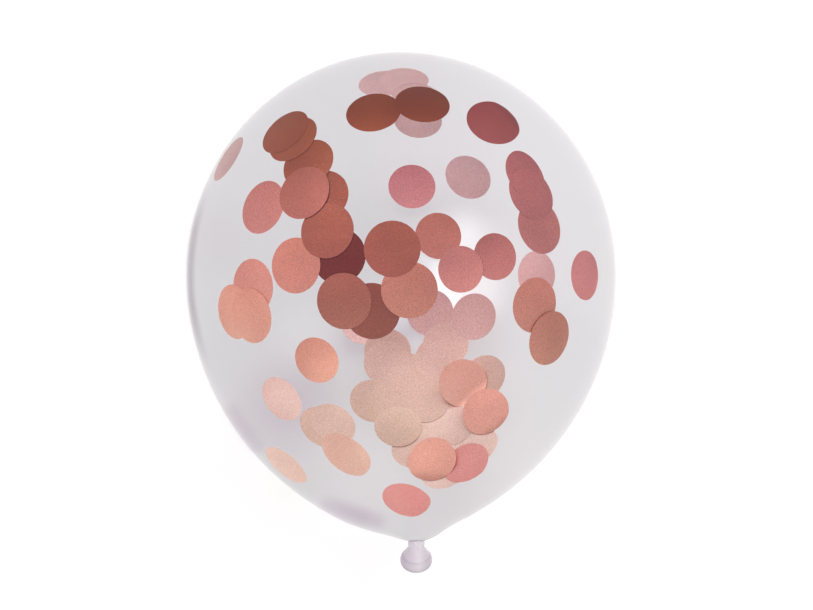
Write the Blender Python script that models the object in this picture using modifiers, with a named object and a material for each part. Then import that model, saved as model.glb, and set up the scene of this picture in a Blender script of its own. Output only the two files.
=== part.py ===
"""Confetti balloon: a clear latex balloon, blown up and tied, lying on its side.

Metres, +Z up. The balloon's axis lies along Y, with the crown at +Y and the tied tail at -Y.
The origin is the middle of the small flat spot that the balloon lies on, under its widest ring.
The balloon is sealed, so it is one closed solid. The confetti inside it is not modelled here.
"""

import math

import bpy
from mathutils import Vector

# Driving dimensions of the body
BODY_WIDTH = 0.305
CROWN_LENGTH = 0.1588
SHOULDER_LENGTH = 0.1888
SPOT_WIDTH = 0.054

# The neck: it is tied a little to the right of the body's axis
NECK_WIDTH = 0.0106
NECK_OFFSET = 0.0105
LEAN_LENGTH = 0.0125
KNOT_WIDTH = 0.0113
KNOT_LENGTH = 0.0032

# The loose tail beyond the knot, which hangs towards the floor, and its rolled lip
TAIL_LENGTH = 0.0160
TAIL_TILT = math.radians(34.0)
TAIL_BEND_LENGTH = 0.0080
LIP_WIDTH = 0.0229
LIP_THICKNESS = 0.0070
LIP_HEIGHT = 0.0098
MOUTH_DEPTH = 0.0090

# The curve of the shoulder, as shares of its own length and of its narrowing
SHOULDER_FULLNESS = 0.42
FUNNEL_RISE = 0.155
FUNNEL_REACH = 0.66

# The curves of the tail's flare and of its mouth, as shares of their length
FLARE_START_PULL = 0.20
FLARE_END_PULL = 0.35
MOUTH_START_PULL = 0.5
LIP_START_ANGLE = math.radians(65.0)
LIP_END_ANGLE = math.radians(-190.0)

# The fineness of the mesh
STEPS_AROUND = 72
CROWN_RINGS = 14
SHOULDER_RINGS = 20
KNOT_RINGS = 4
FLARE_RINGS = 6
LIP_RINGS = 10
MOUTH_RINGS = 3
MERGE_DISTANCE = 0.00002
SHARP_EDGE_ANGLE = math.radians(40.0)

LATEX_COLOUR = (0.86, 0.83, 0.87)
LATEX_ALPHA = 0.35
LATEX_ROUGHNESS = 0.08


def clear_scene():
    """Removes every object of the open scene."""
    for thing in list(bpy.data.objects):
        bpy.data.objects.remove(thing, do_unlink=True)


def new_collection(name):
    """A collection in the scene, for the parts or for the cutters."""
    collection = bpy.data.collections.new(name)
    bpy.context.scene.collection.children.link(collection)
    return collection


def latex_material():
    """Thin clear latex with a smooth, slightly milky surface."""
    material = bpy.data.materials.new("clear_latex")
    material.use_nodes = True
    shader = material.node_tree.nodes["Principled BSDF"]
    shader.inputs["Base Color"].default_value = (*LATEX_COLOUR, 1.0)
    shader.inputs["Alpha"].default_value = LATEX_ALPHA
    shader.inputs["Roughness"].default_value = LATEX_ROUGHNESS
    shader.inputs["Metallic"].default_value = 0.0
    return material


def along(count, first=0):
    """Even shares from 0 to 1, in count steps, from the step numbered first."""
    return [step / count for step in range(first, count + 1)]


def cubic_curve(start, start_handle, end_handle, end, shares):
    """Points of a cubic Bezier curve at the given shares of its length."""
    points = []
    for t in shares:
        weights = ((1 - t) ** 3, 3 * t * (1 - t) ** 2, 3 * t * t * (1 - t), t**3)
        corners = (start, start_handle, end_handle, end)
        points.append(
            (
                sum(weight * corner[0] for weight, corner in zip(weights, corners)),
                sum(weight * corner[1] for weight, corner in zip(weights, corners)),
            )
        )
    return points


def crown_profile():
    """From the crown to the widest ring: a quarter of an ellipse."""
    angles = [share * math.pi / 2 for share in along(CROWN_RINGS)]
    return [(BODY_WIDTH / 2 * math.sin(angle), CROWN_LENGTH * math.cos(angle)) for angle in angles]


def shoulder_profile():
    """From the widest ring to the knot: full at first, then drawn in to the neck."""
    narrowing = BODY_WIDTH / 2 - NECK_WIDTH / 2
    return cubic_curve(
        (BODY_WIDTH / 2, 0.0),
        (BODY_WIDTH / 2, -SHOULDER_LENGTH * SHOULDER_FULLNESS),
        (NECK_WIDTH / 2 + narrowing * FUNNEL_REACH, -SHOULDER_LENGTH * (1 - FUNNEL_RISE)),
        (NECK_WIDTH / 2, -SHOULDER_LENGTH),
        along(SHOULDER_RINGS, 1),
    )


def knot_profile():
    """The tied film, swelling out between the body and the tail."""
    swelling = (KNOT_WIDTH - NECK_WIDTH) / 2
    return [
        (
            NECK_WIDTH / 2 + swelling * math.sin(share * math.pi),
            -SHOULDER_LENGTH - KNOT_LENGTH * share,
        )
        for share in along(KNOT_RINGS, 1)
    ]


def tail_profile():
    """The tail's flare, the rolled lip around its end, and the blind mouth inside it."""
    lip_radius = (LIP_WIDTH - LIP_THICKNESS) / 2
    lip_middle = -SHOULDER_LENGTH - TAIL_LENGTH
    lip = []
    for share in along(LIP_RINGS):
        angle = LIP_START_ANGLE + (LIP_END_ANGLE - LIP_START_ANGLE) * share
        lip.append(
            (
                lip_radius + LIP_THICKNESS / 2 * math.cos(angle),
                lip_middle + LIP_HEIGHT / 2 * math.sin(angle),
            )
        )
    start = (NECK_WIDTH / 2, -SHOULDER_LENGTH - KNOT_LENGTH)
    length = start[1] - lip[0][1]
    widening = lip[0][0] - start[0]
    flare = cubic_curve(
        start,
        (start[0], start[1] - length * FLARE_START_PULL),
        (lip[0][0] - widening * FLARE_END_PULL, lip[0][1] + length * FLARE_END_PULL),
        lip[0],
        along(FLARE_RINGS, 1),
    )
    mouth_end = lip_middle + MOUTH_DEPTH
    mouth = cubic_curve(
        lip[-1],
        (lip[-1][0], lip_middle + MOUTH_DEPTH * MOUTH_START_PULL),
        (lip[-1][0] / 2, mouth_end),
        (0.0, mouth_end),
        along(MOUTH_RINGS, 1),
    )
    return flare + lip[1:] + mouth


def turned_mesh(name, profile, collection):
    """Turns a profile of (radius, height) points around the Z axis into a closed mesh object."""
    mesh = bpy.data.meshes.new(name)
    edges = [(number, number + 1) for number in range(len(profile) - 1)]
    mesh.from_pydata([(radius, 0.0, height) for radius, height in profile], edges, [])
    turned = bpy.data.objects.new(name, mesh)
    collection.objects.link(turned)
    screw = turned.modifiers.new("turn", "SCREW")
    screw.steps = STEPS_AROUND
    screw.render_steps = STEPS_AROUND
    screw.use_merge_vertices = True
    screw.merge_threshold = MERGE_DISTANCE
    bpy.context.view_layer.objects.active = turned
    bpy.ops.object.modifier_apply(modifier=screw.name)
    return turned


def smooth_step(share):
    """0 before the start and 1 past the end, with a soft run between them."""
    share = min(max(share, 0.0), 1.0)
    return share * share * (3 - 2 * share)


def lean_neck(point):
    """Shifts the end of the body, the knot and the tail to the right of the body's axis."""
    share = (-SHOULDER_LENGTH + LEAN_LENGTH - point.z) / LEAN_LENGTH
    return point + Vector((NECK_OFFSET * smooth_step(share), 0.0, 0.0))


def bend_tail(point):
    """Bends what lies beyond the body along an arc, towards +Y, and then runs on straight."""
    beyond = -SHOULDER_LENGTH - point.z
    if beyond <= 0:
        return point
    arc_radius = TAIL_BEND_LENGTH / TAIL_TILT
    angle = TAIL_TILT * min(beyond / TAIL_BEND_LENGTH, 1.0)
    straight = max(beyond - TAIL_BEND_LENGTH, 0.0)
    down = arc_radius * math.sin(angle) + straight * math.cos(angle)
    side = arc_radius * (1 - math.cos(angle)) + straight * math.sin(angle)
    return Vector(
        (
            point.x,
            side + point.y * math.cos(angle),
            -SHOULDER_LENGTH - down + point.y * math.sin(angle),
        )
    )


def axis_height():
    """Height of the body's axis over the floor, which gives the flat spot its width."""
    return math.sqrt((BODY_WIDTH / 2) ** 2 - (SPOT_WIDTH / 2) ** 2)


def floor_cutter(collection):
    """A block below the floor, which cuts the flat spot."""
    reach = BODY_WIDTH
    bpy.ops.mesh.primitive_cube_add(size=reach, location=(0.0, 0.0, -reach / 2))
    block = bpy.context.object
    block.name = "floor_cutter"
    for holder in list(block.users_collection):
        holder.objects.unlink(block)
    collection.objects.link(block)
    block.hide_render = True
    block.display_type = "WIRE"
    return block


def build_balloon(parts, cutters):
    """The whole dipped film, from the crown to the rolled lip, as one solid."""
    profile = crown_profile() + shoulder_profile() + knot_profile() + tail_profile()
    balloon = turned_mesh("balloon", profile, parts)
    for vertex in balloon.data.vertices:
        vertex.co = bend_tail(vertex.co)
        vertex.co = lean_neck(vertex.co)
    balloon.rotation_euler = (-math.pi / 2, 0.0, 0.0)
    balloon.location = (0.0, 0.0, axis_height())
    balloon.data.materials.append(latex_material())
    balloon.data.shade_smooth()
    balloon.data.set_sharp_from_angle(angle=SHARP_EDGE_ANGLE)
    flat_spot = balloon.modifiers.new("flat_spot", "BOOLEAN")
    flat_spot.operation = "DIFFERENCE"
    flat_spot.solver = "EXACT"
    flat_spot.object = floor_cutter(cutters)
    return balloon


clear_scene()
build_balloon(new_collection("confetti_balloon"), new_collection("cutters"))
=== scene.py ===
"""A clear latex balloon with rose-gold confetti inside, lying on its side on a pale floor.

Metres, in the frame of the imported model: +Y runs along the balloon to its crown, +Z is up.
"""

import math

import bpy
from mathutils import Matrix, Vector
from mathutils.bvhtree import BVHTree


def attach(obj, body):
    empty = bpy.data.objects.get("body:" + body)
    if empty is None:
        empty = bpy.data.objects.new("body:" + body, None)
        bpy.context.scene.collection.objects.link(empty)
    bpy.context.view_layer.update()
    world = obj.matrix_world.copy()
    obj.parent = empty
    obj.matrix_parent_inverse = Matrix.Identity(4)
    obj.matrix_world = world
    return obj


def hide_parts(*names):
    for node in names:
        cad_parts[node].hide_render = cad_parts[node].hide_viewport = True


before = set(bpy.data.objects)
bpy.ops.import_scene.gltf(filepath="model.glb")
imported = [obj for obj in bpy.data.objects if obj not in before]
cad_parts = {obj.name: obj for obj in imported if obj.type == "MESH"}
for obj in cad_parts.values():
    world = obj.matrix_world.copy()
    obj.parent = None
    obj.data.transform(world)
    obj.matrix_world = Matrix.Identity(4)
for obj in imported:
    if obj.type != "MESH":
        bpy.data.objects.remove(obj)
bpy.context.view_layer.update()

# The camera looks straight down on the balloon, which lies with its crown away from the
# viewer. Pixels are those of the photograph, 813 by 610, with x to the right and y down.

PHOTO_WIDTH = 813
PHOTO_HEIGHT = 610
SENSOR_WIDTH = 0.036
MILLIMETRES = 1000
BODY_WIDTH = 0.305
SPOT_WIDTH = 0.054
AXIS_HEIGHT = math.sqrt((BODY_WIDTH / 2) ** 2 - (SPOT_WIDTH / 2) ** 2)
CAMERA_DISTANCE = 1.52
BODY_PIXELS = 430
RING_PIXEL = (401.5, 276.0)

# A ball looks a little wider than it is, because its outline is nearer than its middle
seen_width = BODY_WIDTH / math.sqrt(1 - (BODY_WIDTH / 2 / CAMERA_DISTANCE) ** 2)
pixel_size = seen_width / BODY_PIXELS
focal_length = SENSOR_WIDTH * CAMERA_DISTANCE / (pixel_size * PHOTO_WIDTH)
camera_place = Vector(
    (
        (PHOTO_WIDTH / 2 - RING_PIXEL[0]) * pixel_size,
        -(PHOTO_HEIGHT / 2 - RING_PIXEL[1]) * pixel_size,
        AXIS_HEIGHT + CAMERA_DISTANCE,
    )
)
bpy.ops.object.camera_add(location=camera_place, rotation=(0.0, 0.0, 0.0))
camera = bpy.context.object
camera.name = "camera"
camera.data.sensor_width = SENSOR_WIDTH * MILLIMETRES
camera.data.lens = focal_length * MILLIMETRES
bpy.context.scene.camera = camera

# The balloon is one film of clear latex, dipped on a former and blown up. Its neck is tied
# in a knot a little to the right of the middle, and the loose tail beyond the knot flares
# out to the thick rolled lip that every balloon has. It is sealed, so the skin is closed.

CROWN_LENGTH = 0.1588
SHOULDER_LENGTH = 0.1888
SHOULDER_FULLNESS = 0.42
FUNNEL_RISE = 0.155
FUNNEL_REACH = 0.66
NECK_RADIUS = 0.0053
NECK_OFFSET = 0.0105
LEAN_LENGTH = 0.0125
KNOT_RADIUS = 0.00565
KNOT_LENGTH = 0.0032
KNOT_FULLNESS = 0.3
KNOT_END_PULL = 0.1
TAIL_LENGTH = 0.0160
TAIL_TILT = math.radians(34.0)
TAIL_BEND_LENGTH = 0.0080
FLARE_START_PULL = 0.20
FLARE_END_PULL = 0.35
LIP_RADIUS = 0.01145
LIP_HALF_THICKNESS = 0.0035
LIP_HALF_HEIGHT = 0.0049
LIP_START_ANGLE = math.radians(65.0)
MOUTH_DEPTH = 0.0090
MOUTH_START_PULL = 0.5
ROUND_HANDLE = 0.5523
PROFILE_STEPS = 24
STEPS_AROUND = 144
MERGE_DISTANCE = 0.00001
PLEATS = 13
PLEAT_DEPTH = 0.00035
PLEAT_REACH = 0.016
CLEAR_TONE = (0.030, 0.008, 0.060, 1.0)
MILKY_TONE = (0.085, 0.065, 0.125, 1.0)
# Tail tones: painted shade on the left, a painted highlight stripe, and mauve on the right
LAVENDER_SHADE_TONE = (0.62, 0.54, 0.64, 1.0)
PEARL_HIGHLIGHT_TONE = (0.96, 0.91, 0.96, 1.0)
MAUVE_TONE = (0.75, 0.68, 0.75, 1.0)
PEARL_HIGHLIGHT_PLACE = 0.64
TAIL_TONE_REACH = 0.009
GATHERED_MARGIN = 0.0002
RIGHTWARDS = (1.0, 0.0, 0.0)

# Places along the straight part of the tail, from 0 at the bend to 1 at the tip, and the grey of
# painted shade that its tones are multiplied by there
TAIL_SHADE_GREYS = ((0.20, 1.0), (0.28, 0.87), (0.36, 0.96), (0.50, 0.92), (0.64, 0.84), (0.74, 0.70))
TIP_SHADE_GREY = (0.55, 0.54, 0.55, 1.0)


def select_only(piece):
    """Makes one object the only one selected, and the active one."""
    bpy.ops.object.select_all(action="DESELECT")
    piece.select_set(True)
    bpy.context.view_layer.objects.active = piece


def soft_step(share):
    """0 before the start and 1 past the end, with a soft run between them."""
    share = min(max(share, 0.0), 1.0)
    return share * share * (3 - 2 * share)


def draw_film_profile():
    """The half outline of the balloon, drawn as one curve from the crown to the blind mouth."""
    half = BODY_WIDTH / 2
    knot_middle = -SHOULDER_LENGTH - KNOT_LENGTH / 2
    knot_end = -SHOULDER_LENGTH - KNOT_LENGTH
    lip_middle = -SHOULDER_LENGTH - TAIL_LENGTH
    lip_ring = LIP_RADIUS - LIP_HALF_THICKNESS
    lip_start = (
        lip_ring + LIP_HALF_THICKNESS * math.cos(LIP_START_ANGLE),
        lip_middle + LIP_HALF_HEIGHT * math.sin(LIP_START_ANGLE),
    )
    first_handle = 4 / 3 * math.tan(LIP_START_ANGLE / 4)
    lip_bottom = lip_middle - LIP_HALF_HEIGHT
    across = LIP_HALF_THICKNESS * ROUND_HANDLE
    lengthways = LIP_HALF_HEIGHT * ROUND_HANDLE
    mouth_end = lip_middle + MOUTH_DEPTH
    flare = knot_end - lip_start[1]
    # The place of each point, the handle before it and the handle after it
    points = (
        ((0, CROWN_LENGTH), (0, CROWN_LENGTH), (half * ROUND_HANDLE, CROWN_LENGTH)),
        (
            (half, 0),
            (half, CROWN_LENGTH * ROUND_HANDLE),
            (half, -SHOULDER_LENGTH * SHOULDER_FULLNESS),
        ),
        (
            (NECK_RADIUS, -SHOULDER_LENGTH),
            (
                NECK_RADIUS + (half - NECK_RADIUS) * FUNNEL_REACH,
                -SHOULDER_LENGTH * (1 - FUNNEL_RISE),
            ),
            (NECK_RADIUS, -SHOULDER_LENGTH - KNOT_LENGTH * KNOT_END_PULL),
        ),
        (
            (KNOT_RADIUS, knot_middle),
            (KNOT_RADIUS, knot_middle + KNOT_LENGTH * KNOT_FULLNESS),
            (KNOT_RADIUS, knot_middle - KNOT_LENGTH * KNOT_FULLNESS),
        ),
        (
            (NECK_RADIUS, knot_end),
            (NECK_RADIUS, knot_end + KNOT_LENGTH * KNOT_END_PULL),
            (NECK_RADIUS, knot_end - flare * FLARE_START_PULL),
        ),
        (
            lip_start,
            (
                lip_start[0] - (lip_start[0] - NECK_RADIUS) * FLARE_END_PULL,
                lip_start[1] + flare * FLARE_END_PULL,
            ),
            (
                lip_start[0] + LIP_HALF_THICKNESS * math.sin(LIP_START_ANGLE) * first_handle,
                lip_start[1] - LIP_HALF_HEIGHT * math.cos(LIP_START_ANGLE) * first_handle,
            ),
        ),
        (
            (lip_ring + LIP_HALF_THICKNESS, lip_middle),
            (lip_ring + LIP_HALF_THICKNESS, lip_middle + LIP_HALF_HEIGHT * first_handle),
            (lip_ring + LIP_HALF_THICKNESS, lip_middle - lengthways),
        ),
        (
            (lip_ring, lip_bottom),
            (lip_ring + across, lip_bottom),
            (lip_ring - across, lip_bottom),
        ),
        (
            (lip_ring - LIP_HALF_THICKNESS, lip_middle),
            (lip_ring - LIP_HALF_THICKNESS, lip_middle - lengthways),
            (lip_ring - LIP_HALF_THICKNESS, lip_middle + MOUTH_DEPTH * MOUTH_START_PULL),
        ),
        (
            (0, mouth_end),
            ((lip_ring - LIP_HALF_THICKNESS) / 2, mouth_end),
            (0, mouth_end),
        ),
    )
    bpy.ops.curve.primitive_bezier_curve_add(location=(0.0, 0.0, 0.0))
    outline = bpy.context.object
    spline = outline.data.splines[0]
    spline.bezier_points.add(len(points) - len(spline.bezier_points))
    spline.resolution_u = PROFILE_STEPS
    for corner, (place, before, after) in zip(spline.bezier_points, points):
        corner.handle_left_type = "FREE"
        corner.handle_right_type = "FREE"
        corner.co = (*place, 0.0)
        corner.handle_left = (*before, 0.0)
        corner.handle_right = (*after, 0.0)
    return outline


def turn_film(outline):
    """Turns the half outline around the Y axis into the closed skin."""
    select_only(outline)
    bpy.ops.object.convert(target="MESH")
    film = bpy.context.object
    film.name = "balloon_film"
    bpy.ops.object.mode_set(mode="EDIT")
    bpy.ops.mesh.select_all(action="SELECT")
    bpy.ops.mesh.spin(
        steps=STEPS_AROUND, angle=2 * math.pi, center=(0.0, 0.0, 0.0), axis=(0.0, 1.0, 0.0)
    )
    bpy.ops.mesh.select_all(action="SELECT")
    bpy.ops.mesh.remove_doubles(threshold=MERGE_DISTANCE)
    bpy.ops.mesh.normals_make_consistent(inside=False)
    bpy.ops.object.mode_set(mode="OBJECT")
    return film


def gather_pleats(point):
    """Fine, uneven pleats run into the knot, where the film is drawn together."""
    share = 1 - abs(point.y + SHOULDER_LENGTH) / PLEAT_REACH
    around = math.atan2(point.z, point.x)
    depth = PLEAT_DEPTH * soft_step(share) * math.cos(PLEATS * around + math.sin(2 * around))
    outward = Vector((point.x, 0.0, point.z))
    # The blind end of the mouth, near the axis, stays smooth
    if outward.length < NECK_RADIUS / 2:
        return point
    return point + outward.normalized() * depth


def bend_tail(point):
    """Bends what lies beyond the body towards the floor along an arc, and then runs straight."""
    beyond = -SHOULDER_LENGTH - point.y
    if beyond <= 0:
        return point
    arc_radius = TAIL_BEND_LENGTH / TAIL_TILT
    angle = TAIL_TILT * min(beyond / TAIL_BEND_LENGTH, 1.0)
    straight = max(beyond - TAIL_BEND_LENGTH, 0.0)
    along = arc_radius * math.sin(angle) + straight * math.cos(angle)
    down = arc_radius * (1 - math.cos(angle)) + straight * math.sin(angle)
    return Vector(
        (
            point.x,
            -SHOULDER_LENGTH - along - point.z * math.sin(angle),
            point.z * math.cos(angle) - down,
        )
    )


def lean_neck(point):
    """Shifts the end of the body, the knot and the tail to the right of the body's axis."""
    share = (-SHOULDER_LENGTH + LEAN_LENGTH - point.y) / LEAN_LENGTH
    return point + Vector((NECK_OFFSET * soft_step(share), 0.0, 0.0))


def add_share(nodes, links, place, direction, start, end):
    """How far a point lies between two heights along a direction, from 0 to 1."""
    height = nodes.new("ShaderNodeVectorMath")
    height.operation = "DOT_PRODUCT"
    height.inputs[1].default_value = direction
    share = nodes.new("ShaderNodeMapRange")
    share.inputs["From Min"].default_value = start
    share.inputs["From Max"].default_value = end
    links.new(place.outputs["Object"], height.inputs[0])
    links.new(height.outputs["Value"], share.inputs["Value"])
    return share.outputs["Result"]


def clear_latex():
    """Thin clear latex: a faint milky veil under a smooth, glossy skin."""
    material = bpy.data.materials.new("clear_latex")
    material.use_nodes = True
    nodes = material.node_tree.nodes
    links = material.node_tree.links
    shader = nodes["Principled BSDF"]
    shader.inputs["Alpha"].default_value = 0.205
    shader.inputs["Roughness"].default_value = 0.06
    shader.inputs["IOR"].default_value = 1.52
    shader.inputs["Specular IOR Level"].default_value = 0.03
    place = nodes.new("ShaderNodeTexCoord")
    cloud = nodes.new("ShaderNodeTexNoise")
    cloud.inputs["Scale"].default_value = 7.0
    cloud.inputs["Detail"].default_value = 2.0
    tones = nodes.new("ShaderNodeMixRGB")
    tones.inputs["Color1"].default_value = CLEAR_TONE
    tones.inputs["Color2"].default_value = MILKY_TONE
    links.new(place.outputs["Object"], cloud.inputs["Vector"])
    links.new(cloud.outputs["Fac"], tones.inputs["Fac"])
    links.new(tones.outputs["Color"], shader.inputs["Base Color"])
    ripple = nodes.new("ShaderNodeTexNoise")
    ripple.inputs["Scale"].default_value = 18.0
    ripple.inputs["Detail"].default_value = 1.0
    bump = nodes.new("ShaderNodeBump")
    bump.inputs["Strength"].default_value = 0.04
    bump.inputs["Distance"].default_value = 0.002
    links.new(place.outputs["Object"], ripple.inputs["Vector"])
    links.new(ripple.outputs["Fac"], bump.inputs["Height"])
    links.new(bump.outputs["Normal"], shader.inputs["Normal"])
    return material


def gathered_latex():
    """The same latex where it isn't stretched: thick, milky and only a little see-through, with
    painted shade and a painted highlight.
    """
    material = bpy.data.materials.new("gathered_latex")
    material.use_nodes = True
    nodes = material.node_tree.nodes
    links = material.node_tree.links
    shader = nodes["Principled BSDF"]
    shader.inputs["Alpha"].default_value = 0.82
    shader.inputs["Roughness"].default_value = 0.16
    shader.inputs["IOR"].default_value = 1.52
    place = nodes.new("ShaderNodeTexCoord")
    # Painted shade and highlight: the tail is darker lavender on its left, lightest in a pearly
    # stripe right of its middle, and mauve on its right
    tail_left = NECK_OFFSET - TAIL_TONE_REACH
    tail_right = NECK_OFFSET + TAIL_TONE_REACH
    sideways = add_share(nodes, links, place, RIGHTWARDS, tail_left, tail_right)
    tones = nodes.new("ShaderNodeValToRGB")
    tones.color_ramp.elements[0].color = LAVENDER_SHADE_TONE
    tones.color_ramp.elements[1].color = MAUVE_TONE
    tones.color_ramp.elements.new(PEARL_HIGHLIGHT_PLACE).color = PEARL_HIGHLIGHT_TONE
    # Painted shade: the film is a little darker in the crease before the lip, and at the tip
    tilt_direction = (0.0, -math.cos(TAIL_TILT), -math.sin(TAIL_TILT))
    reach = []
    for beyond in (TAIL_BEND_LENGTH, TAIL_LENGTH + LIP_HALF_HEIGHT):
        spot = bend_tail(Vector((0.0, -SHOULDER_LENGTH - beyond, 0.0)))
        spot.z += AXIS_HEIGHT
        reach.append(spot.dot(Vector(tilt_direction)))
    downwards = add_share(nodes, links, place, tilt_direction, *reach)
    darkening = nodes.new("ShaderNodeValToRGB")
    darkening.color_ramp.elements[0].color = (1.0, 1.0, 1.0, 1.0)
    darkening.color_ramp.elements[1].color = TIP_SHADE_GREY
    for position, grey in TAIL_SHADE_GREYS:
        darkening.color_ramp.elements.new(position).color = (grey, grey, grey, 1.0)
    shaded = nodes.new("ShaderNodeMixRGB")
    shaded.blend_type = "MULTIPLY"
    shaded.inputs["Fac"].default_value = 1.0
    links.new(sideways, tones.inputs["Fac"])
    links.new(downwards, darkening.inputs["Fac"])
    links.new(tones.outputs["Color"], shaded.inputs["Color1"])
    links.new(darkening.outputs["Color"], shaded.inputs["Color2"])
    links.new(shaded.outputs["Color"], shader.inputs["Base Color"])
    grain = nodes.new("ShaderNodeTexNoise")
    grain.inputs["Scale"].default_value = 900.0
    bump = nodes.new("ShaderNodeBump")
    bump.inputs["Strength"].default_value = 0.08
    bump.inputs["Distance"].default_value = 0.0003
    links.new(place.outputs["Object"], grain.inputs["Vector"])
    links.new(grain.outputs["Fac"], bump.inputs["Height"])
    links.new(bump.outputs["Normal"], shader.inputs["Normal"])
    return material


film = turn_film(draw_film_profile())
film.data.materials.append(clear_latex())
film.data.materials.append(gathered_latex())
for face in film.data.polygons:
    gathered = face.center.y < -SHOULDER_LENGTH + GATHERED_MARGIN
    face.material_index = 1 if gathered else 0
for vertex in film.data.vertices:
    shaped = lean_neck(bend_tail(gather_pleats(vertex.co)))
    shaped.z = max(shaped.z + AXIS_HEIGHT, 0.0)
    vertex.co = shaped
select_only(film)
bpy.ops.object.shade_smooth()
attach(film, "root")
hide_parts("balloon")

# The confetti is punched from thin plastic foil, rose gold on one side and pale on the
# other. The discs cling to the inside of the film by static, singly and in loose heaps,
# so each one is bowed to the wall that it lies on, and those in a heap lie in layers.

DISC_WIDTH = 0.0370
DISC_THICKNESS = 0.00008
WALL_GAP = 0.0003
LAYER_STEP = 0.00014
PAST_NEAR_WALL = 0.005
DISC_EDGE_STEPS = 56
DISC_INSETS = 4
DISC_EDGE_ANGLE = math.radians(40.0)

# How far the middle of a leaning disc stands off the film, times its lean and its width
LEAN_CLEARANCE = 0.42

# The foil's fine grain and its broad painted sheen, and how much a disc's painted shade deepens
# its tones
GRAIN_SCALE = 1100.0
GRAIN_DETAIL = 5.0
FOIL_GRAIN = 0.18
BACK_GRAIN = 0.20
SHEEN_SCALE = 24.0
SHEEN_DETAIL = 1.0
SHEEN_CONTRAST = 0.10
NOISE_RANGE = (0.3, 0.7)
SHADE_POWER = -0.5

# Three tones for each finish, which run from the tail to the crown. The run is painted light and
# shade: lighter and peach towards the bright tail, darker and browner towards the dim crown
CROWNWARDS = (0.0, 1.0, 0.0)
TONE_REACH = 0.12
WARM_FOIL_TONES = ((0.96, 0.58, 0.42), (0.89, 0.34, 0.243), (0.45, 0.13, 0.015))
ROSY_FOIL_TONES = ((1.0, 0.43, 0.38), (0.90, 0.41, 0.40), (0.55, 0.15, 0.16))
BEIGE_BACK_TONES = ((0.98, 0.72, 0.57), (0.90, 0.57, 0.49), (0.82, 0.56, 0.52))
ROSY_BACK_TONES = ((0.98, 0.70, 0.64), (0.86, 0.49, 0.47), (0.80, 0.53, 0.56))


def model_disc():
    """One flat disc with rings of faces, so that it can bow."""
    bpy.ops.object.select_all(action="DESELECT")
    bpy.ops.mesh.primitive_circle_add(
        vertices=DISC_EDGE_STEPS, radius=DISC_WIDTH / 2, fill_type="NGON", location=(0.0, 0.0, 0.0)
    )
    disc = bpy.context.object
    disc.name = "confetti_blank"
    bpy.ops.object.mode_set(mode="EDIT")
    bpy.ops.mesh.select_all(action="SELECT")
    for _ in range(DISC_INSETS):
        bpy.ops.mesh.inset(thickness=DISC_WIDTH / 2 / (DISC_INSETS + 1))
    bpy.ops.mesh.poke()
    bpy.ops.object.mode_set(mode="OBJECT")
    return disc


def add_tones(nodes, links, place, plain_tones, rosy_tones):
    """Runs through three tones from the tail to the crown as painted light and shade, with a
    painted rose reflection stronger on some discs than others.
    """
    upwards = add_share(nodes, links, place, CROWNWARDS, -TONE_REACH, TONE_REACH)
    rosiness = nodes.new("ShaderNodeAttribute")
    rosiness.attribute_name = "rosiness"
    blend = nodes.new("ShaderNodeMixRGB")
    for socket, tones in (("Color1", plain_tones), ("Color2", rosy_tones)):
        ramp = nodes.new("ShaderNodeValToRGB")
        stops = ramp.color_ramp.elements
        stops.new(0.5)
        for number, tone in enumerate(tones):
            stops[number].position = number / (len(tones) - 1)
            stops[number].color = (*tone, 1.0)
        links.new(upwards, ramp.inputs["Fac"])
        links.new(ramp.outputs["Color"], blend.inputs[socket])
    links.new(rosiness.outputs["Fac"], blend.inputs["Fac"])
    return blend.outputs["Color"]


def add_mottling(nodes, links, place, scale, detail, contrast):
    """A soft random pattern that swings around 1 by the contrast."""
    noise = nodes.new("ShaderNodeTexNoise")
    noise.inputs["Scale"].default_value = scale
    noise.inputs["Detail"].default_value = detail
    mottling = nodes.new("ShaderNodeMapRange")
    mottling.inputs["From Min"].default_value = NOISE_RANGE[0]
    mottling.inputs["From Max"].default_value = NOISE_RANGE[1]
    mottling.inputs["To Min"].default_value = 1.0 - contrast
    mottling.inputs["To Max"].default_value = 1.0 + contrast
    links.new(place.outputs["Object"], noise.inputs["Vector"])
    links.new(noise.outputs["Fac"], mottling.inputs["Value"])
    return mottling.outputs["Result"]


def finish_foil(nodes, links, place, colour, grain_contrast):
    """Grains a colour finely, lets it play a little with a broad painted sheen, and makes it
    darker and deeper, or lighter and paler, by the painted shade of its own disc."""
    grain = add_mottling(nodes, links, place, GRAIN_SCALE, GRAIN_DETAIL, grain_contrast)
    sheen = add_mottling(nodes, links, place, SHEEN_SCALE, SHEEN_DETAIL, SHEEN_CONTRAST)
    pattern = nodes.new("ShaderNodeMath")
    pattern.operation = "MULTIPLY"
    shade = nodes.new("ShaderNodeAttribute")
    shade.attribute_name = "shade"
    strength = nodes.new("ShaderNodeMath")
    strength.operation = "MULTIPLY"
    depth = nodes.new("ShaderNodeMath")
    depth.operation = "POWER"
    depth.inputs[1].default_value = SHADE_POWER
    deepened = nodes.new("ShaderNodeGamma")
    result = nodes.new("ShaderNodeVectorMath")
    result.operation = "SCALE"
    links.new(grain, pattern.inputs[0])
    links.new(sheen, pattern.inputs[1])
    links.new(pattern.outputs["Value"], strength.inputs[0])
    links.new(shade.outputs["Fac"], strength.inputs[1])
    links.new(shade.outputs["Fac"], depth.inputs[0])
    links.new(colour, deepened.inputs["Color"])
    links.new(depth.outputs["Value"], deepened.inputs["Gamma"])
    links.new(deepened.outputs["Color"], result.inputs["Vector"])
    links.new(strength.outputs["Value"], result.inputs["Scale"])
    return result.outputs["Vector"]


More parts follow.
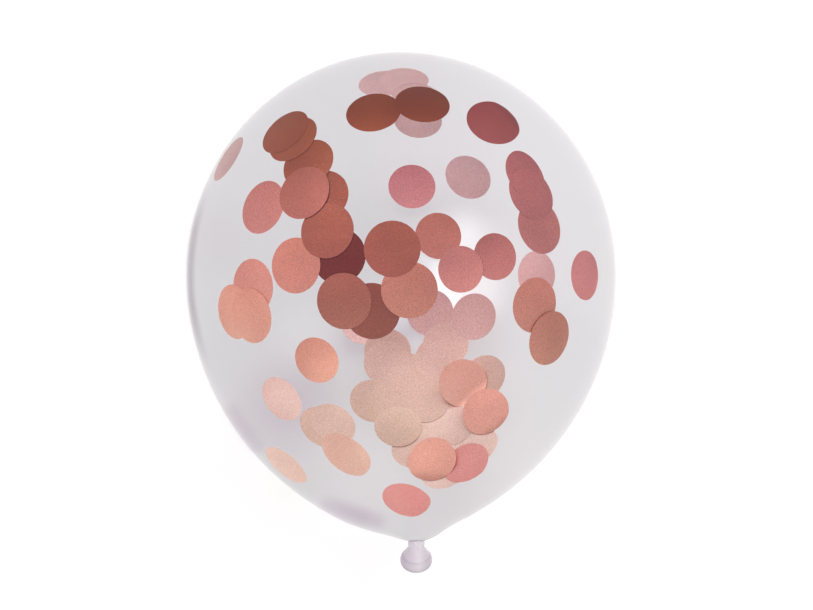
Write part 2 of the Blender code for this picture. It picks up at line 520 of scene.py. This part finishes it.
def foil_side():
    """Rose-gold foil under a satin lacquer. Painted shade turns it browner towards the crown and
    painted light turns it peach towards the tail, and on some discs it is painted wine red, as it
    looks with the way it faces."""
    material = bpy.data.materials.new("rose_gold_foil")
    material.use_nodes = True
    nodes = material.node_tree.nodes
    links = material.node_tree.links
    shader = nodes["Principled BSDF"]
    shader.inputs["Metallic"].default_value = 0.65
    shader.inputs["Roughness"].default_value = 0.50
    shader.inputs["Coat Weight"].default_value = 0.10
    shader.inputs["Coat Roughness"].default_value = 0.35
    place = nodes.new("ShaderNodeTexCoord")
    tones = add_tones(nodes, links, place, WARM_FOIL_TONES, ROSY_FOIL_TONES)
    colour = finish_foil(nodes, links, place, tones, FOIL_GRAIN)
    links.new(colour, shader.inputs["Base Color"])
    return material


def pale_side():
    """The pale back of the foil, seen through its clear carrier, with painted shade from the tail
    to the crown.
    """
    material = bpy.data.materials.new("pale_foil_back")
    material.use_nodes = True
    nodes = material.node_tree.nodes
    links = material.node_tree.links
    shader = nodes["Principled BSDF"]
    shader.inputs["Metallic"].default_value = 0.2
    shader.inputs["Roughness"].default_value = 0.4
    place = nodes.new("ShaderNodeTexCoord")
    tones = add_tones(nodes, links, place, BEIGE_BACK_TONES, ROSY_BACK_TONES)
    colour = finish_foil(nodes, links, place, tones, BACK_GRAIN)
    links.new(colour, shader.inputs["Base Color"])
    return material


def find_wall(pixel, far_wall):
    """The point of the film behind a pixel of the photograph, on the near or the far wall."""
    sight = Vector(
        (
            (pixel[0] - PHOTO_WIDTH / 2) / PHOTO_WIDTH * SENSOR_WIDTH,
            (PHOTO_HEIGHT / 2 - pixel[1]) / PHOTO_WIDTH * SENSOR_WIDTH,
            -focal_length,
        )
    ).normalized()
    place, outward, _, _ = wall.ray_cast(camera_place, sight)
    if far_wall:
        place, outward, _, _ = wall.ray_cast(place + sight * PAST_NEAR_WALL, sight)
    return place, outward


def press_disc(name, pixel, far_wall, layer, shade, rosiness, lean, turned_over):
    """Copies the disc and bows it to the film, layer steps in from the wall. One with a
    lean stands off the film on one side."""
    place, outward = find_wall(pixel, far_wall)
    disc = blank.copy()
    disc.data = blank.data.copy()
    disc.name = name
    disc.data.name = name
    bpy.context.collection.objects.link(disc)
    leaned = (outward + Vector((*lean, 0.0))).normalized()
    right = leaned.orthogonal().normalized()
    up = leaned.cross(right)
    middle = place - outward * Vector(lean).length * DISC_WIDTH * LEAN_CLEARANCE
    least_depth = WALL_GAP + DISC_THICKNESS + layer * LAYER_STEP
    for vertex in disc.data.vertices:
        side = -vertex.co.x if turned_over else vertex.co.x
        height = -vertex.co.z if turned_over else vertex.co.z
        spot = middle + right * side + up * vertex.co.y
        on_wall, away, _, _ = wall.find_nearest(spot)
        depth = max((on_wall - spot).dot(away), least_depth) if any(lean) else least_depth
        vertex.co = on_wall - away * (depth - height)
    for quality, amount in (("shade", shade), ("rosiness", rosiness)):
        values = disc.data.attributes.new(quality, "FLOAT", "POINT")
        values.data.foreach_set("value", [amount] * len(disc.data.vertices))
    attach(disc, "root")


blank = model_disc()
blank.data.materials.append(foil_side())
blank.data.materials.append(pale_side())
thick = blank.modifiers.new("thickness", "SOLIDIFY")
thick.thickness = DISC_THICKNESS
thick.offset = -1.0
thick.material_offset = 1
select_only(blank)
bpy.ops.object.modifier_apply(modifier=thick.name)
bpy.ops.object.shade_smooth_by_angle(angle=DISC_EDGE_ANGLE)
wall = BVHTree.FromPolygons(
    [vertex.co for vertex in film.data.vertices],
    [face.vertices for face in film.data.polygons],
)

# Pixel, layer, shade, rosiness and lean of each disc. Layer 0 lies next to the film, and the
# others further in. The shade is painted light and shade: below 1 it makes a disc darker and above
# 1 lighter. The rosiness is a painted rose reflection. A lean turns a disc's face aside, and a
# flat one follows the film all over.
FLAT = (0.0, 0.0)
NEAR_DISCS = (
    ((373.0, 110.5), 2, 0.65, 0.0, FLAT),
    ((422.5, 102.5), 0, 0.62, 0.0, FLAT),
    ((496.5, 118.0), 0, 0.64, 0.7, (-0.25, -0.15)),
    ((284.1, 130.6), 0, 0.72, 0.0, FLAT),
    ((291.9, 137.8), 1, 0.75, 0.0, FLAT),
    ((307.0, 162.3), 3, 0.67, 0.0, FLAT),
    ((303.2, 192.0), 0, 0.76, 0.3, FLAT),
    ((321.1, 195.4), 7, 0.57, 0.0, FLAT),
    ((326.1, 230.0), 5, 0.64, 0.0, FLAT),
    ((337.5, 255.8), 9, 0.32, 0.0, FLAT),
    ((293.9, 265.3), 7, 1.00, 0.1, FLAT),
    ((261.5, 206.5), 2, 0.97, 0.5, FLAT),
    ((251.0, 286.7), 3, 1.06, 0.2, FLAT),
    ((233.2, 312.0), 1, 1.18, 0.0, FLAT),
    ((250.0, 316.0), 0, 1.14, 0.0, FLAT),
    ((392.0, 248.5), 1, 0.64, 0.0, FLAT),
    ((409.5, 290.0), 2, 0.94, 0.0, FLAT),
    ((343.2, 301.4), 4, 0.67, 0.0, FLAT),
    ((371.5, 311.5), 6, 0.50, 0.0, FLAT),
    ((529.0, 174.1), 0, 0.80, 0.8, (0.2, 0.0)),
    ((532.7, 193.5), 1, 0.80, 0.8, FLAT),
    ((541.0, 226.0), 2, 0.88, 0.6, FLAT),
    ((536.8, 305.4), 6, 0.95, 0.1, FLAT),
    ((550.8, 338.6), 0, 0.89, 0.0, FLAT),
    ((344.3, 458.8), 0, 1.19, 0.3, (-0.25, 0.0)),
)
FAR_FOIL_DISCS = (
    ((412.0, 186.0), 0, 1.15, 1.0, FLAT),
    ((438.5, 235.7), 2, 0.93, 0.3, FLAT),
    ((461.3, 269.2), 4, 0.93, 0.6, FLAT),
    ((495.7, 256.5), 2, 0.81, 0.6, FLAT),
    ((587.2, 275.3), 0, 0.89, 0.9, (-0.12, 0.0)),
    ((316.2, 360.5), 0, 0.95, 0.0, FLAT),
    ((433.5, 465.4), 5, 0.82, 0.4, (0.0, 0.38)),
    ((467.2, 466.3), 4, 1.07, 1.0, (0.0, 0.2)),
    ((466.0, 387.0), 6, 1.08, 0.3, (-0.3, 0.36)),
    ((488.7, 415.5), 5, 0.90, 0.4, (-0.18, 0.3)),
    ((407.0, 504.5), 0, 1.10, 1.0, (-0.24, 0.12)),
)
FAR_PALE_DISCS = (
    ((383.0, 82.0), 0, 1.06, 0.4, FLAT),
    ((404.0, 78.5), 1, 1.12, 0.3, FLAT),
    ((416.5, 96.5), 2, 1.06, 0.4, FLAT),
    ((418.0, 119.0), 0, 0.93, 0.5, FLAT),
    ((468.5, 176.5), 0, 0.90, 0.8, FLAT),
    ((537.5, 275.0), 0, 1.00, 1.0, FLAT),
    ((227.0, 158.0), 0, 0.98, 0.0, FLAT),
    ((280.8, 399.6), 0, 1.13, 0.5, FLAT),
    ((321.2, 428.0), 0, 0.94, 0.0, FLAT),
    ((332.2, 425.0), 1, 0.96, 0.2, FLAT),
    ((284.0, 467.5), 0, 1.16, 0.1, (0.12, 0.12)),
    ((363.0, 321.0), 0, 1.05, 0.9, FLAT),
    ((387.5, 352.0), 1, 0.75, 0.3, FLAT),
    ((387.0, 364.0), 2, 0.79, 0.3, FLAT),
    ((373.0, 402.0), 3, 0.75, 0.0, FLAT),
    ((393.5, 399.5), 4, 0.78, 0.1, FLAT),
    ((426.0, 402.5), 5, 0.79, 0.2, FLAT),
    ((412.0, 376.5), 0, 0.77, 0.2, FLAT),
    ((398.0, 428.0), 6, 0.84, 0.0, FLAT),
    ((415.5, 450.0), 0, 1.00, 0.2, FLAT),
    ((445.0, 472.5), 1, 1.12, 0.5, FLAT),
    ((476.0, 447.3), 0, 1.15, 0.5, FLAT),
    ((451.0, 427.0), 2, 0.97, 0.5, FLAT),
    ((433.0, 427.0), 1, 0.96, 0.4, FLAT),
    ((438.5, 359.0), 1, 0.80, 0.3, FLAT),
    ((446.0, 388.5), 3, 0.79, 0.3, FLAT),
    ((446.0, 345.0), 2, 0.82, 0.4, FLAT),
    ((484.0, 378.0), 0, 0.81, 0.2, FLAT),
    ((430.5, 313.0), 0, 0.80, 1.0, FLAT),
    ((474.5, 317.0), 3, 0.80, 0.9, FLAT),
)

# Name, discs, whether they lie on the far wall, and whether their foil faces inwards
DISC_GROUPS = (
    ("near", NEAR_DISCS, False, False),
    ("far", FAR_FOIL_DISCS, True, True),
    ("pale", FAR_PALE_DISCS, True, False),
)
for group, discs, far_wall, turned_over in DISC_GROUPS:
    for number, (pixel, layer, shade, rosiness, lean) in enumerate(discs):
        name = f"confetti_{group}_{number:02d}"
        press_disc(name, pixel, far_wall, layer, shade, rosiness, lean, turned_over)
bpy.data.objects.remove(blank, do_unlink=True)

# The floor is a plain white sheet, lit from below so evenly that it fades into the
# background near the balloon, and falls off to a pale grey further out. It is brighter to
# the right, where the photograph's balloon is lighter too.

FLOOR_WIDTH = 8.0
FLOOR_GAP = 0.0003
PAPER_TONE = (0.45, 0.45, 0.45, 1.0)
LIT_FLOOR_RADIUS = 0.42
DIM_FLOOR_RADIUS = 2.2
FLOOR_GLOW = 0.54
FAR_FLOOR_GLOW = 0.25
RIGHT_FLOOR_GLOW = 0.09
RIGHT_GLOW_REACH = (-0.03, 0.09)
SHADOW_TONE = (0.55, 0.36, 0.56, 1.0)
# Tone of the painted shadow line along the balloon's left
RIM_SHADOW_TONE = (0.30, 0.24, 0.27, 1.0)

# Pixel, radius in metres and strength of the soft lavender shadows, and of the bright
# patches where the balloon gathers the light
SHADOW_SPOTS = (
    ((282.0, 406.0), 0.055, 0.42),
    ((214.0, 236.0), 0.045, 0.15),
    ((408.0, 332.0), 0.014, 0.35),
    ((350.0, 348.0), 0.020, 0.20),
    ((233.0, 412.0), 0.011, 0.35),
    ((240.0, 423.0), 0.011, 0.40),
    ((248.0, 434.0), 0.011, 0.40),
    ((256.0, 445.0), 0.011, 0.35),
    ((328.0, 505.0), 0.011, 0.35),
    ((340.0, 509.0), 0.012, 0.50),
    ((352.0, 513.0), 0.012, 0.55),
    ((364.0, 517.0), 0.012, 0.60),
    ((377.0, 521.0), 0.011, 0.45),
)
GLARE_SPOTS = (
    ((450.0, 300.0), 0.220, 0.13),
    ((370.0, 470.0), 0.070, 0.14),
    ((520.0, 470.0), 0.070, 0.05),
    ((305.0, 330.0), 0.040, 0.07),
    ((390.0, 650.0), 0.300, 0.07),
    ((459.0, 268.0), 0.060, 0.30),
    ((462.0, 235.0), 0.028, 0.20),
    ((484.0, 290.0), 0.028, 0.20),
    ((449.0, 303.0), 0.026, 0.45),
    ((444.0, 276.0), 0.018, 0.30),
)

# Pixels for the painted soft mauve shadow line along the left of the balloon: the middle and the
# radius of its arc, half its width, its strongest point, and how far from there it fades
RIM_MIDDLE = (422.5, 276.0)
RIM_RADIUS = 232.5
RIM_HALF_WIDTH = 7.0
RIM_HEART = (191.0, 276.0)
RIM_REACH = (30.0, 110.0)
RIM_SHADOW_STRENGTH = 0.88


def find_floor(pixel):
    """The point of the floor behind a pixel of the photograph."""
    reach = camera_place.z / focal_length * SENSOR_WIDTH / PHOTO_WIDTH
    return (
        camera_place.x + (pixel[0] - PHOTO_WIDTH / 2) * reach,
        camera_place.y + (PHOTO_HEIGHT / 2 - pixel[1]) * reach,
        -FLOOR_GAP,
    )


def add_spot(nodes, links, place, pixel, radius, strength):
    """A round soft spot on the floor, from its strength in the middle to nothing at its edge."""
    distance = nodes.new("ShaderNodeVectorMath")
    distance.operation = "DISTANCE"
    distance.inputs[1].default_value = find_floor(pixel)
    spot = nodes.new("ShaderNodeMapRange")
    spot.interpolation_type = "SMOOTHSTEP"
    spot.inputs["From Min"].default_value = 0.0
    spot.inputs["From Max"].default_value = radius
    spot.inputs["To Min"].default_value = strength
    spot.inputs["To Max"].default_value = 0.0
    links.new(place.outputs["Object"], distance.inputs[0])
    links.new(distance.outputs["Value"], spot.inputs["Value"])
    return spot.outputs["Result"]


def add_rim_shadow(nodes, links, place):
    """A painted soft shadow arc on the floor, just inside the balloon's outline."""
    pixel_reach = find_floor((1.0, 0.0))[0] - find_floor((0.0, 0.0))[0]
    across = nodes.new("ShaderNodeVectorMath")
    across.operation = "DISTANCE"
    across.inputs[1].default_value = find_floor(RIM_MIDDLE)
    aside = nodes.new("ShaderNodeMath")
    aside.operation = "SUBTRACT"
    aside.inputs[1].default_value = RIM_RADIUS * pixel_reach
    size = nodes.new("ShaderNodeMath")
    size.operation = "ABSOLUTE"
    line = nodes.new("ShaderNodeMapRange")
    line.interpolation_type = "SMOOTHSTEP"
    line.inputs["From Min"].default_value = 0.0
    line.inputs["From Max"].default_value = RIM_HALF_WIDTH * pixel_reach
    line.inputs["To Min"].default_value = RIM_SHADOW_STRENGTH
    line.inputs["To Max"].default_value = 0.0
    along = nodes.new("ShaderNodeVectorMath")
    along.operation = "DISTANCE"
    along.inputs[1].default_value = find_floor(RIM_HEART)
    fading = nodes.new("ShaderNodeMapRange")
    fading.interpolation_type = "SMOOTHSTEP"
    fading.inputs["From Min"].default_value = RIM_REACH[0] * pixel_reach
    fading.inputs["From Max"].default_value = RIM_REACH[1] * pixel_reach
    fading.inputs["To Min"].default_value = 1.0
    fading.inputs["To Max"].default_value = 0.0
    result = nodes.new("ShaderNodeMath")
    result.operation = "MULTIPLY"
    links.new(place.outputs["Object"], across.inputs[0])
    links.new(across.outputs["Value"], aside.inputs[0])
    links.new(aside.outputs["Value"], size.inputs[0])
    links.new(size.outputs["Value"], line.inputs["Value"])
    links.new(place.outputs["Object"], along.inputs[0])
    links.new(along.outputs["Value"], fading.inputs["Value"])
    links.new(line.outputs["Result"], result.inputs[0])
    links.new(fading.outputs["Result"], result.inputs[1])
    return result.outputs["Value"]


def white_sheet():
    """Plain white paper that glows, with the balloon's soft shadows and bright patches."""
    material = bpy.data.materials.new("white_sheet")
    material.use_nodes = True
    nodes = material.node_tree.nodes
    links = material.node_tree.links
    shader = nodes["Principled BSDF"]
    shader.inputs["Base Color"].default_value = PAPER_TONE
    shader.inputs["Roughness"].default_value = 0.9
    place = nodes.new("ShaderNodeTexCoord")
    distance = nodes.new("ShaderNodeVectorMath")
    distance.operation = "LENGTH"
    fading = nodes.new("ShaderNodeMapRange")
    fading.interpolation_type = "SMOOTHSTEP"
    fading.inputs["From Min"].default_value = LIT_FLOOR_RADIUS
    fading.inputs["From Max"].default_value = DIM_FLOOR_RADIUS
    fading.inputs["To Min"].default_value = FLOOR_GLOW
    fading.inputs["To Max"].default_value = FAR_FLOOR_GLOW
    links.new(place.outputs["Object"], distance.inputs[0])
    links.new(distance.outputs["Value"], fading.inputs["Value"])
    right = nodes.new("ShaderNodeMath")
    right.operation = "MULTIPLY"
    right.inputs[1].default_value = RIGHT_FLOOR_GLOW
    rightwards = add_share(nodes, links, place, RIGHTWARDS, *RIGHT_GLOW_REACH)
    links.new(rightwards, right.inputs[0])
    glow = fading.outputs["Result"]
    glares = [add_spot(nodes, links, place, *spot) for spot in GLARE_SPOTS]
    for extra in (right.outputs["Value"], *glares):
        total = nodes.new("ShaderNodeMath")
        total.operation = "ADD"
        links.new(glow, total.inputs[0])
        links.new(extra, total.inputs[1])
        glow = total.outputs["Value"]
    links.new(glow, shader.inputs["Emission Strength"])
    tone = None
    for spot in SHADOW_SPOTS:
        shadow = nodes.new("ShaderNodeMixRGB")
        shadow.inputs["Color1"].default_value = (1.0, 1.0, 1.0, 1.0)
        shadow.inputs["Color2"].default_value = SHADOW_TONE
        links.new(add_spot(nodes, links, place, *spot), shadow.inputs["Fac"])
        if tone:
            links.new(tone, shadow.inputs["Color1"])
        tone = shadow.outputs["Color"]
    rim_shadow = nodes.new("ShaderNodeMixRGB")
    rim_shadow.inputs["Color2"].default_value = RIM_SHADOW_TONE
    links.new(tone, rim_shadow.inputs["Color1"])
    links.new(add_rim_shadow(nodes, links, place), rim_shadow.inputs["Fac"])
    links.new(rim_shadow.outputs["Color"], shader.inputs["Emission Color"])
    return material


bpy.ops.object.select_all(action="DESELECT")
bpy.ops.mesh.primitive_plane_add(size=FLOOR_WIDTH, location=(0.0, 0.0, -FLOOR_GAP))
bpy.ops.object.transform_apply(location=True, rotation=False, scale=False)
floor = bpy.context.object
floor.name = "floor"
floor.data.materials.append(white_sheet())

# The studio is dim beyond the crown and bright towards the tail. Broad soft boxes stand
# around the balloon, which the foil and the film mirror.

BALLOON_MIDDLE = (0.0, 0.0, 0.15)
TAILWARDS = (0.0, -1.0, 0.0)
CROWN_SKY_TONE = (0.26, 0.25, 0.26, 1.0)
SIDE_SKY_TONE = (0.72, 0.70, 0.72, 1.0)
TAIL_SKY_TONE = (1.0, 0.97, 0.95, 1.0)

# Name, place, width, height, power in watts and colour
SOFT_BOXES = (
    ("tail_soft_box", (-0.5, -1.3, 0.45), 1.2, 0.5, 2.0, (1.0, 0.97, 0.94)),
    ("crown_soft_box", (0.0, 1.08, 1.05), 2.6, 0.9, 24.0, (1.0, 0.98, 0.97)),
    ("left_soft_box", (-1.3, 0.0, 0.5), 1.5, 0.9, 1.6, (1.0, 0.99, 0.98)),
)


def add_soft_box(name, place, width, height, power, colour):
    """One rectangular soft box, turned to face the balloon."""
    bpy.ops.object.light_add(type="AREA", location=place)
    box = bpy.context.object
    box.name = name
    box.data.shape = "RECTANGLE"
    box.data.size = width
    box.data.size_y = height
    box.data.energy = power
    box.data.color = colour
    facing = Vector(BALLOON_MIDDLE) - Vector(place)
    box.rotation_euler = facing.to_track_quat("-Z", "Y").to_euler()


for soft_box in SOFT_BOXES:
    add_soft_box(*soft_box)

world = bpy.data.worlds.new("studio")
bpy.context.scene.world = world
world.use_nodes = True
sky_nodes = world.node_tree.nodes
sky_links = world.node_tree.links
sky = sky_nodes["Background"]
direction = sky_nodes.new("ShaderNodeTexCoord")
towards = sky_nodes.new("ShaderNodeVectorMath")
towards.operation = "DOT_PRODUCT"
towards.inputs[1].default_value = TAILWARDS
spread = sky_nodes.new("ShaderNodeMapRange")
spread.inputs["From Min"].default_value = -1.0
spread.inputs["From Max"].default_value = 1.0
shades = sky_nodes.new("ShaderNodeValToRGB")
shades.color_ramp.elements[0].color = CROWN_SKY_TONE
shades.color_ramp.elements[1].color = TAIL_SKY_TONE
shades.color_ramp.elements.new(0.5).color = SIDE_SKY_TONE
sky_links.new(direction.outputs["Generated"], towards.inputs[0])
sky_links.new(towards.outputs["Value"], spread.inputs["Value"])
sky_links.new(spread.outputs["Result"], shades.inputs["Fac"])
sky_links.new(shades.outputs["Color"], sky.inputs["Color"])
bpy.context.scene.view_settings.view_transform = "Standard"
